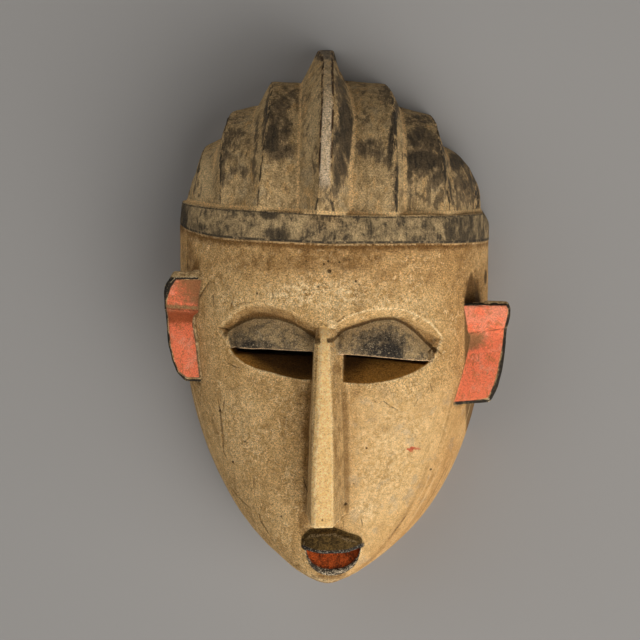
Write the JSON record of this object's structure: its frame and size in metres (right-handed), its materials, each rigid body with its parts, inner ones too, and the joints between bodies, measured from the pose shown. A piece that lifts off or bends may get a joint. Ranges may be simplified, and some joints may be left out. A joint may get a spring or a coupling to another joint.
{
  "type": "carved face mask",
  "caption": "Hollow carved wooden face mask with a stepped ribbed coiffure, a forehead band, plate ears, half-moon eyelids over slits, a long plank nose and a tiny mouth; lies on its flat rim.",
  "frame": {"origin": "bottom centre of the bounding box, in the plane of the flat back rim", "axes": "+Z out of the face, +Y from the chin to the crest of the coiffure, +X to the right as the face is looked at"},
  "size_m": [0.2414, 0.3811, 0.146],
  "materials": {
    "painted_wood": "old matt cream paint worn to brown wood, worn black on the coiffure, band, lids and lips, dull red on the ears and in the mouth"
  },
  "bodies": {
    "root": {"mask": "painted_wood"}
  },
  "joints": []
}
